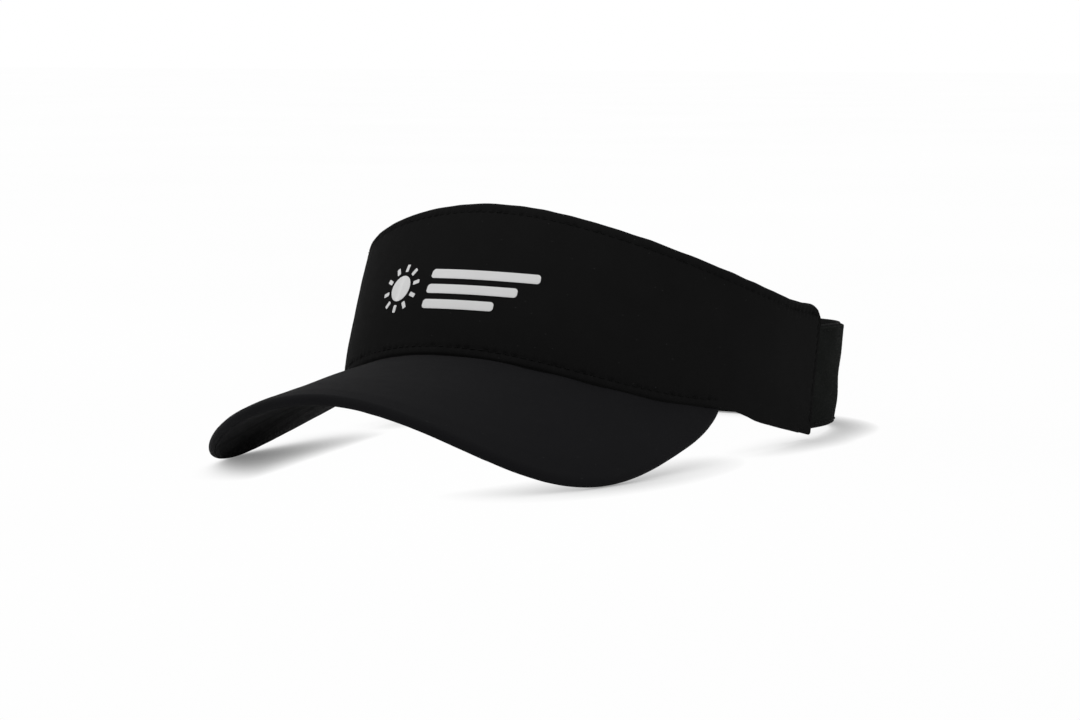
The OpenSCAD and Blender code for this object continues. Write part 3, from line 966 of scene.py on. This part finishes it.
def bend(side, body):
    """The short stretch at the crown's end over which a strap turns from the crown."""
    z = STRAP_START + STRAP_HEIGHT / 2
    d = WEBBING_DEPTH + STRAP_THICKNESS / 2
    return body, wall(side * BEND_START, z, d), wall(side * BEND_END, z, d)


def webbing_relief(u, v):
    """Slack along the webbing and slightly raised selvedges."""
    edge = np.minimum(v, STRAP_HEIGHT - v)
    selvedge = 0.05 * np.exp(-(((edge - 1.1) / 0.7) ** 2))
    return 0.1 * ripple(u, v, 24.0, 51, stretch=1.5) + selvedge


def pile_relief(size, height, seed):
    """Tufts about `size` mm across on slightly uneven webbing."""

    def relief(u, v):
        tufts = ripple(u, v, size, seed, waves=22)
        tufts = tufts + 0.6 * ripple(u, v, size * 0.6, seed + 1, waves=22)
        return height * np.tanh(tufts) + 0.12 * ripple(u, v, 18.0, seed + 2)

    return relief


WEBBING_DEPTHS = (WEBBING_DEPTH, LOOP_WEB_LAP_DEPTH)
PILE_DEPTHS = (PILE_DEPTH, LOOP_PILE_LAP_DEPTH)
HOOK_WEB_DEPTHS = (WEBBING_DEPTH, 0.0)
HOOK_DEPTHS = (HOOK_TAPE_DEPTH, HOOK_TAPE_DEPTH)
HOOK_START = 180 - STRAP_LAP + 4
# Bare margins of webbing above and below the pile and the hooks.
PILE_INSET = 0.8
HOOK_INSET = 4.0

add_piece(
    "near_strap_webbing",
    strap_ply(
        1, POCKET_ROOT, STRAP_TIP, 0.0, WEBBING_DEPTHS, STRAP_THICKNESS, 0.9, webbing_relief, -1
    ),
    WEBBING_CLOTH, ["loop_strap"], bend=bend(1, LOOP_BODY),
)
add_piece(
    "near_strap_pile",
    strap_ply(
        1, CROWN_END_ANGLE - 2.5, STRAP_TIP - 0.6, PILE_INSET, PILE_DEPTHS, PILE_THICKNESS, 0.42,
        pile_relief(1.3, 0.07, 52),
    ),
    LOOP_PILE, ["loop_tape"], bend=bend(1, LOOP_BODY),
)
add_piece(
    "far_strap_webbing",
    strap_ply(
        -1, POCKET_ROOT, STRAP_TIP, 0.0, HOOK_WEB_DEPTHS, STRAP_THICKNESS, 0.9, webbing_relief
    ),
    WEBBING_CLOTH, ["hook_strap"], bend=bend(-1, HOOK_BODY),
)
add_piece(
    "far_strap_hooks",
    strap_ply(
        -1, HOOK_START, STRAP_TIP - 1.5, HOOK_INSET, HOOK_DEPTHS, PILE_THICKNESS, 0.5,
        pile_relief(1.0, 0.16, 55), -1,
    ),
    HOOK_PILE, ["hook_tape"], body=HOOK_BODY,
)


# ---------------------------------------------------------------- stitching
def top_row(a, lift):
    return crown_surface(a, upper_edge(a) - STITCH_INSET, lift)


def seam_row(a, lift):
    return crown_surface(a, lower_edge(a) + STITCH_INSET, lift)


def end_row(side):
    """Upright row near one end of the crown, from 0 at its foot to 1 at its top."""
    a = side * (CROWN_END_ANGLE - END_ROW_INSET / MM_PER_DEGREE_AT_END)
    low, high = lower_edge(a) + 4, upper_edge(a) - 4
    return lambda t, lift: crown_surface(a + 0 * t, mix(low, high, t), lift)


def sweatband_row(a, lift):
    return wall(a, sweatband_top(a) - 1.6, sweatband_depth(a) + SWEATBAND_THICKNESS + lift)


def loop_row(height):
    """Row along the pile, `height` mm above the strap's lower edge."""
    return lambda b, lift: strap_point(1, b, strap_low(b) + height, PILE_DEPTHS, lift)


def hook_row(height):
    """Row behind the hooks, on the outside of the far strap."""
    return lambda b, lift: wall(-b, strap_low(b) + height, -lift)


ROW_END = CROWN_END_ANGLE - 1.9
STRAP_ROW_END = STRAP_TIP - 3.5
LOOP_ROW_INSET = 2.2
HOOK_ROW_INSET = 6.0

for name, path, end in (
    ("top_edge", top_row, ROW_END),
    ("bill_seam", seam_row, TEMPLE - 1),
    ("sweatband", sweatband_row, INNER_END - 1),
):
    add_piece(f"{name}_stitches", stitch_row(path, -end, end), THREAD, [f"{name}_thread"])
for side, label in ((1, "near"), (-1, "far")):
    row = stitch_row(end_row(side), 0.0, 1.0)
    add_piece(f"{label}_end_stitches", row, THREAD, [f"{label}_end_thread"])
for name, row, inset, start, node, body in (
    ("near", loop_row, LOOP_ROW_INSET, STRAP_ROOT + 2.2, "loop_tape_thread", LOOP_BODY),
    ("far", hook_row, HOOK_ROW_INSET, HOOK_START + 1, "hook_tape_thread", HOOK_BODY),
):
    heights = (inset, STRAP_HEIGHT - inset)
    rows = joined([stitch_row(row(height), start, STRAP_ROW_END) for height in heights])
    add_piece(f"{name}_strap_stitches", rows, THREAD, [node], body=body)


# ---------------------------------------------------------------- printed mark
# Direction and height of the middle of the disc, and the disc's radius.
MARK_ANGLE = -17.0
MARK_HEIGHT = 33.5
MARK_DISC = 4.8
# Rays round the disc: where each starts and ends, half its width and its corners' radius.
MARK_RAYS = 10
MARK_RAY = (6.2, 9.0, 0.75, 0.4)
# Bars beside the disc: where each starts and ends, and its height over the disc's middle.
MARK_BARS = ((13.5, 54.0, 5.6), (13.5, 47.0, 0.0), (13.5, 40.0, -5.6))
MARK_BAR_HEIGHT = 3.4
MARK_BAR_CORNER = 1.2
# Distance of the print from the oval's middle line, which turns its length into an angle.
MARK_RADIUS = OVAL_FRONT - 12
PRINT_THICKNESS = 0.16
PRINT_LIFT = 0.03


def printed_bar(start, end, half, radius, turn=0.0, middle=(0.0, 0.0)):
    """Flat printed bar along the direction turn, with round corners, laid on the crown's cloth.

    A bar as long as it is high, with a radius of half its height, is a disc.
    """
    u = ruler(start, end, 0.6, PRINT_THICKNESS / 2, radius)
    v = ruler(-1.0, 1.0, 0.6 / half, PRINT_THICKNESS / 2 / half)
    c, s = math.cos(turn), math.sin(turn)

    def point(uu, vv, lift):
        near = np.minimum(radius, np.minimum(uu - start, end - uu))
        high = half - radius + np.sqrt(np.maximum(radius**2 - (radius - near) ** 2, 4e-4))
        across = vv * high
        x = middle[0] + uu * c - across * s
        z = MARK_HEIGHT + middle[1] + uu * s + across * c
        a = MARK_ANGLE + np.degrees(x / MARK_RADIUS)
        return crown_surface(a, z, PRINT_LIFT + PRINT_THICKNESS / 2 + lift)

    return slab(point, u, v, PRINT_THICKNESS)


marks = [printed_bar(-MARK_DISC, MARK_DISC, MARK_DISC, MARK_DISC)]
for k in range(MARK_RAYS):
    marks.append(printed_bar(*MARK_RAY, turn=(k + 0.5) * 2 * math.pi / MARK_RAYS))
for start, end, height in MARK_BARS:
    marks.append(
        printed_bar(start, end, MARK_BAR_HEIGHT / 2, MARK_BAR_CORNER, middle=(0.0, height))
    )
add_piece("front_print", joined(marks), PRINT, ["front_mark"])


# ---------------------------------------------------------------- sweatband
# Furthest that the simulation may move a point, in mm.
PUFF_CAP = 1.1
# Enlargement of the mesh for the simulation, which is unsteady on parts of a millimetre.
SIM_SCALE = 10.0
PUFF_FRAMES = 20
# Height of the band as it is mapped, and of its stitch row on that map.
BAND_MAP = 30.0
BAND_ROW = 28.0


def puffed(points, faces, pinned):
    """Moves of the points, in mm, under a short cloth simulation with air pressed in."""
    mesh = bpy.data.meshes.new("puff")
    mesh.from_pydata(points * MM * SIM_SCALE, [], faces)
    obj = bpy.data.objects.new("puff", mesh)
    bpy.context.scene.collection.objects.link(obj)
    group = obj.vertex_groups.new(name="pinned")
    group.add([int(i) for i in pinned], 1.0, "REPLACE")
    cloth = obj.modifiers.new("puff", "CLOTH")
    settings = cloth.settings
    settings.quality = 8
    settings.mass = 0.02
    settings.tension_stiffness = settings.compression_stiffness = 8
    settings.shear_stiffness = 4
    settings.bending_stiffness = 0.02
    settings.shrink_min = settings.shrink_max = -0.05
    settings.use_pressure = True
    settings.uniform_pressure_force = 12
    settings.vertex_group_mass = "pinned"
    settings.effector_weights.gravity = 0
    cloth.collision_settings.use_collision = False
    cloth.point_cache.frame_end = PUFF_FRAMES
    for step in range(1, PUFF_FRAMES + 1):
        bpy.context.scene.frame_set(step)
    solved = obj.evaluated_get(bpy.context.evaluated_depsgraph_get()).to_mesh()
    moved = np.zeros(len(points) * 3)
    solved.vertices.foreach_get("co", moved)
    obj.evaluated_get(bpy.context.evaluated_depsgraph_get()).to_mesh_clear()
    bpy.data.objects.remove(obj)
    bpy.data.meshes.remove(mesh)
    bpy.context.scene.frame_set(1)
    return moved.reshape(-1, 3) / MM / SIM_SCALE - points


def sweatband():
    """Padded band: pinned along its seam and stitch row, and swollen in between."""
    u = ruler(arc(-INNER_END), arc(INNER_END), 2.0, 1.0)
    edge = np.array([0, 0.25, 0.7])
    v = np.concatenate([edge, np.linspace(1.6, BAND_MAP - 1.6, 17), BAND_MAP - edge[::-1]])
    uu, vv = np.meshgrid(u, v, indexing="ij")
    a = angle_at(uu)
    z = mix(inner_edge(a) + 0.3, sweatband_top(a), vv / BAND_MAP)
    radius = SWEATBAND_THICKNESS / 2
    shape = rounding(np.minimum(vv, BAND_MAP - vv), radius)
    shape = shape * rounding(np.minimum(uu - u[0], u[-1] - uu), 1.0)
    slack = 0.1 * ripple(uu, vv, 11.0, 61) * np.sin(math.pi * vv / BAND_MAP)
    d = sweatband_depth(a) + radius
    inside, outside = wall(a, z, d + radius * shape + slack), wall(a, z, d - radius * shape)
    points, faces, uvs = skin(inside, outside, uu, vv)
    is_outside = np.arange(len(points)) >= uu.size
    row = (uvs[:, 1] > BAND_ROW) | (uvs[:, 1] < 0.5)
    side = np.minimum(uvs[:, 0] - u[0], u[-1] - uvs[:, 0]) < 0.6
    move = puffed(points, faces, np.flatnonzero(is_outside | row | side))
    length = np.linalg.norm(move, axis=1, keepdims=True)
    points = points + move * np.minimum(1, PUFF_CAP / np.maximum(length, 1e-9))
    return points, faces, uvs


band_piece = add_piece("sweatband_pad", sweatband(), SWEAT_CLOTH, ["sweatband"])
finer = band_piece.modifiers.new("finer", "SUBSURF")
finer.levels = finer.render_levels = 1


# ---------------------------------------------------------------- labels
LABEL_THICKNESS = 0.3
# Blank labels: the directions they span, their length in mm and how far their tip curls off.
CARE_LABEL = ((74.0, 90.0), 22.0, 1.6)
SIZE_LABEL = ((-88.0, -77.0), 12.0, 0.7)


def label(span, length, curl):
    """Blank label that hangs from its top edge and stands off the band lower down."""
    top = float(sweatband_top((span[0] + span[1]) / 2)) - 3
    u = ruler(arc(span[0]), arc(span[1]), 0.9, LABEL_THICKNESS / 2)
    v = ruler(0.0, length, 0.9, LABEL_THICKNESS / 2)

    def point(uu, vv, lift):
        a = angle_at(uu)
        down = length - vv
        base = sweatband_depth(a) + SWEATBAND_THICKNESS + 1.5 * PLY_GAP + LABEL_THICKNESS / 2
        off = PUFF_CAP * smooth(0, 7, down) + curl * (down / length) ** 2
        wavy = 0.15 * ripple(uu, vv, 9.0, 71) * down / length
        return wall(a, top - down, base + off + wavy + lift)

    def row(t, lift):
        return point(t, length - 1.2 + 0 * t, LABEL_THICKNESS / 2 + lift)

    stitches = stitch_row(row, u[0] + 1, u[-1] - 1, pitch=2.2, radius=0.14)
    return slab(point, u, v, LABEL_THICKNESS), stitches


for name, shape, cloth, slot in (
    ("care_label", CARE_LABEL, LABEL_GREY, "label_grey"),
    ("size_label", SIZE_LABEL, LABEL_BEIGE, "label_beige"),
):
    sheet, stitches = label(*shape)
    add_piece(f"{name}_cloth", sheet, cloth, [name], body=f"{name}_flap")
    add_piece(f"{name}_stitches", stitches, THREAD, body=f"{name}_flap")


# ---------------------------------------------------------------- studio
FLOOR_SIZE = 24.0
FLOOR_PATCHES = 400.0
# How far from the object the floor's painted contact shadow reaches, in metres, and the side
# from which it leans, as if lit from the left of the camera and above; no lamp casts it.
SHADOW_REACH = 0.018
SHADOW_LEAN = (-0.70, -0.40, 0.59)
CAMERA_AZIMUTH = math.radians(29.63)
CAMERA_ELEVATION = math.radians(5.04)
CAMERA_DISTANCE = 1.1566
CAMERA_LENS = 105.05
# Point that the camera's distance is counted from, and the point in the picture's middle.
CAMERA_PIVOT = Vector((0.0, -0.0174, 0.0457))
CAMERA_AIM = Vector((-0.0020, -0.0201, 0.0301))


def floor_material():
    """Pale floor: seen by the camera as a white glow with soft painted contact shadows, matt to other light."""
    c = Cloth("studio_floor")
    patches = c.noise(FLOOR_PATCHES, detail=1.0, in_metres=c.space)
    pale = c.tint(patches, grey(0.98), grey(1.0))
    lean = c.node("ShaderNodeCombineXYZ", dict(zip("XYZ", SHADOW_LEAN))).outputs[0]
    # Painted contact shadow: an occlusion test darkens the colour of the glow that the camera sees.
    near = c.node(
        "ShaderNodeAmbientOcclusion",
        {"Color": pale, "Distance": SHADOW_REACH, "Normal": lean}, samples=16,
    )
    seen = c.node("ShaderNodeEmission", {"Color": near.outputs["Color"], "Strength": 1.0})
    matt = c.node("ShaderNodeBsdfDiffuse", {"Color": pale})
    ray = c.node("ShaderNodeLightPath").outputs["Is Camera Ray"]
    mixed = c.node("ShaderNodeMixShader", {0: ray, 1: matt.outputs[0], 2: seen.outputs[0]})
    output = c.node("ShaderNodeOutputMaterial")
    c.tree.links.new(mixed.outputs[0], output.inputs[0])
    return c.material


floor_mesh = bpy.data.meshes.new("floor")
side = FLOOR_SIZE / 2
corners = [(-side, -side, 0), (side, -side, 0), (side, side, 0), (-side, side, 0)]
floor_mesh.from_pydata(corners, [], [(0, 1, 2, 3)])
floor_mesh.materials.append(floor_material())
floor = bpy.data.objects.new("floor", floor_mesh)
bpy.context.scene.collection.objects.link(floor)

world = bpy.data.worlds.new("studio")
world.use_nodes = True
world.node_tree.nodes["Background"].inputs["Color"].default_value = (1, 1, 1, 1)
world.node_tree.nodes["Background"].inputs["Strength"].default_value = 1.0
bpy.context.scene.world = world


def softbox(name, spot, aim, size, power):
    """Square area light at spot, in metres and watts."""
    light = bpy.data.lights.new(name, "AREA")
    light.size = size
    light.energy = power
    obj = bpy.data.objects.new(name, light)
    bpy.context.scene.collection.objects.link(obj)
    obj.location = spot
    obj.rotation_euler = (Vector(aim) - Vector(spot)).to_track_quat("-Z", "Y").to_euler()


softbox("overhead", (0.1, -0.2, 1.7), (0, 0, 0), 1.6, 22)
softbox("left", (-1.6, -0.7, 0.9), (0, -0.03, 0.04), 0.9, 7)

camera = bpy.data.cameras.new("camera")
camera.lens = CAMERA_LENS
camera.sensor_width = 36.0
camera.clip_start, camera.clip_end = 0.05, 60.0
camera_object = bpy.data.objects.new("camera", camera)
bpy.context.scene.collection.objects.link(camera_object)
back = Vector((
    math.sin(CAMERA_AZIMUTH) * math.cos(CAMERA_ELEVATION),
    -math.cos(CAMERA_AZIMUTH) * math.cos(CAMERA_ELEVATION),
    math.sin(CAMERA_ELEVATION),
))
camera_object.location = CAMERA_PIVOT + CAMERA_DISTANCE * back
look = CAMERA_AIM - camera_object.location
camera_object.rotation_euler = look.to_track_quat("-Z", "Y").to_euler()
bpy.context.scene.camera = camera_object
bpy.context.scene.view_settings.view_transform = "Standard"
